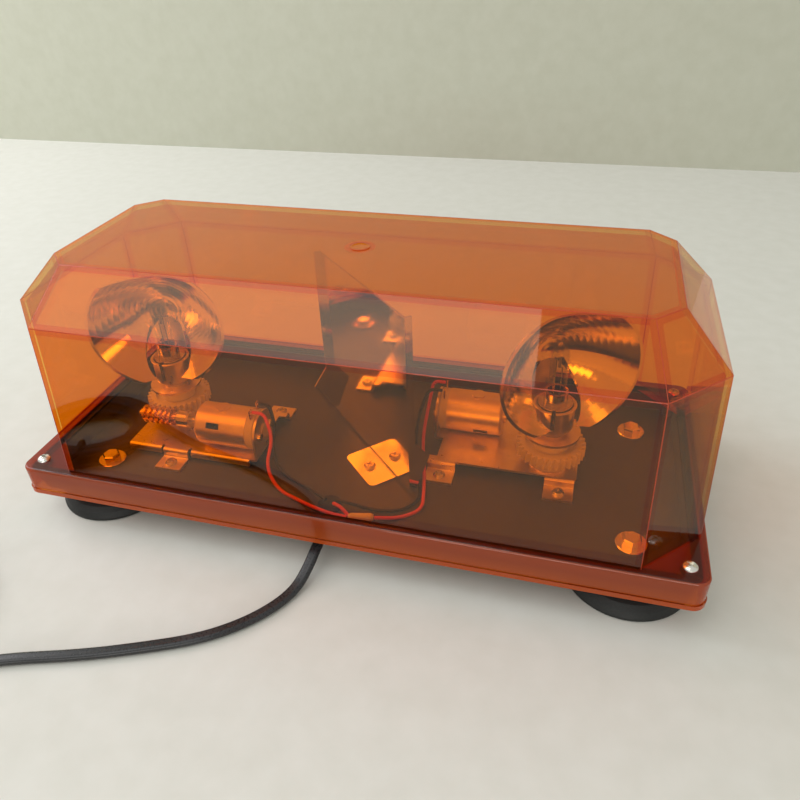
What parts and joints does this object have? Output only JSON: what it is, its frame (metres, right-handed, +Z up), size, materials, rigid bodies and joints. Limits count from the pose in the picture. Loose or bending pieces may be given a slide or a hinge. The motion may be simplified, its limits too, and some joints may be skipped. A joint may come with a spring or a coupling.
{
  "type": "rotating beacon",
  "caption": "Low rectangular twin rotating beacon: a faceted clear amber dome on a dark tray with magnetic feet, with motor-driven parabolic reflectors turning round upright lamps.",
  "frame": {"origin": "middle of the bar on the surface that the feet stand on", "axes": "+X along the bar to its right end, +Y to its back, away from the cord, +Z up"},
  "size_m": [0.5281, 0.3226, 0.1646],
  "materials": {
    "tray": "fine grained moulded ABS",
    "dome": "clear amber, polished moulding",
    "rubber": "moulded, matt",
    "bright_steel": "nickel plated, polished",
    "zinc_steel": "bright zinc plated",
    "mirror": "polished sheet",
    "red_pvc": "extruded PVC",
    "black_pvc": "extruded PVC",
    "clear_crimp": "moulded nylon sleeve",
    "cord": "extruded flat twin PVC",
    "plug_plastic": "moulded",
    "nickel": "nickel plated",
    "magnet": "sintered ferrite in a steel cup",
    "motor_cap": "moulded nylon",
    "brass": "stamped",
    "glass": "clear quartz",
    "tungsten": "drawn wire",
    "gear": "moulded acetal",
    "worm": "cut brass",
    "reflector": "vacuum metallised"
  },
  "bodies": {
    "base": {"axle_post_left": "zinc_steel", "axle_post_right": "zinc_steel", "base_tray": "tray", "black_leads": "black_pvc", "centre_mirror": "mirror", "cord_coil": "cord", "cord_gland": "rubber", "cord_tail": "cord", "crimp_connectors": "clear_crimp", "dome_gasket": "rubber", "dome_screws": "bright_steel", "drive_bracket_left": "zinc_steel", "drive_bracket_right": "zinc_steel", "foot_bolts": "zinc_steel", "foot_boot_1": "rubber", "foot_boot_2": "rubber", "foot_boot_3": "rubber", "foot_boot_4": "rubber", "foot_magnet_1": "magnet", "foot_magnet_2": "magnet", "foot_magnet_3": "magnet", "foot_magnet_4": "magnet", "foot_washers": "zinc_steel", "lamp_base_left": "nickel", "lamp_base_right": "nickel", "lamp_filament_left": "tungsten", "lamp_filament_right": "tungsten", "lamp_glass_left": "glass", "lamp_glass_right": "glass", "lamp_socket_left": "zinc_steel", "lamp_socket_right": "zinc_steel", "lens_dome": "dome", "mirror_screws": "zinc_steel", "motor_can_left": "zinc_steel", "motor_can_right": "zinc_steel", "motor_end_cap_left": "motor_cap", "motor_end_cap_right": "motor_cap", "motor_terminals_left": "brass", "motor_terminals_right": "brass", "plug_body": "plug_plastic", "plug_boot": "rubber", "plug_contacts": "nickel", "power_cord": "cord", "red_leads": "red_pvc", "unit_screws_left": "bright_steel", "unit_screws_right": "bright_steel"},
    "rotor_left": {"carrier_left": "zinc_steel", "carrier_screw_left": "bright_steel", "reflector_left": "reflector", "worm_wheel_left": "gear"},
    "rotor_right": {"carrier_right": "zinc_steel", "carrier_screw_right": "bright_steel", "reflector_right": "reflector", "worm_wheel_right": "gear"},
    "drive_left": {"motor_shaft_left": "bright_steel", "worm_left": "worm"},
    "drive_right": {"motor_shaft_right": "bright_steel", "worm_right": "worm"},
    "plug_pin": {"plug_tip": "nickel"}
  },
  "joints": [
    {"name": "rotor_left_spin", "type": "hinge", "parent": "base", "child": "rotor_left", "pos_m": [-0.142, 0, 0.103], "axis": [0, 0, 1], "continuous": true},
    {"name": "worm_left_spin", "type": "hinge", "parent": "base", "child": "drive_left", "pos_m": [-0.142, -0.025, 0.043], "axis": [1, 0, 0], "continuous": true},
    {"name": "rotor_right_spin", "type": "hinge", "parent": "base", "child": "rotor_right", "pos_m": [0.116, 0, 0.103], "axis": [0, 0, 1], "continuous": true},
    {"name": "worm_right_spin", "type": "hinge", "parent": "base", "child": "drive_right", "pos_m": [0.116, 0.025, 0.043], "axis": [-1, 0, 0], "continuous": true},
    {"name": "plug_tip_slide", "type": "slide", "parent": "base", "child": "plug_pin", "axis": [0.378, -0.9258, 0], "range_m": [0, 0.004], "stiffness_N_per_m": 400, "springref_m": -0.003}
  ],
  "couplings": [
    {"joint": "worm_left_spin", "follows": "rotor_left_spin", "ratio": -32},
    {"joint": "worm_right_spin", "follows": "rotor_right_spin", "ratio": -32}
  ]
}
